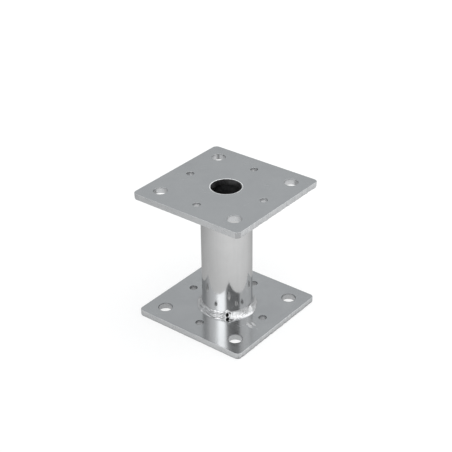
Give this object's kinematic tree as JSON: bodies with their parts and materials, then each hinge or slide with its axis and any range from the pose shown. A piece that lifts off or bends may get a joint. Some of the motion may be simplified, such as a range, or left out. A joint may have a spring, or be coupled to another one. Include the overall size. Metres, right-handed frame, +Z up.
{
  "type": "post base",
  "caption": "Post base: drilled square steel plates joined by a round, fillet-welded tube, to fasten a timber post at a height above its footing.",
  "frame": {"origin": "centre of the lower plate's underside, which is the bottom centre of the whole part", "axes": "+Z up along the tube's axis, from the lower plate to the upper one; +X and +Y along the plates' edges; the corner nearest to the camera in the picture is the one at +X and -Y"},
  "size_m": [0.1, 0.1, 0.11],
  "materials": {
    "plate": "bright zinc plate on flat cut steel, smooth and half glossy",
    "tube": "bright zinc plate on smooth drawn tube, glossy",
    "weld": "bright zinc plate on a rippled weld bead"
  },
  "bodies": {
    "root": {"base_plate": "plate", "base_weld": "weld", "tube": "tube", "top_weld": "weld", "top_plate": "plate"}
  },
  "joints": []
}
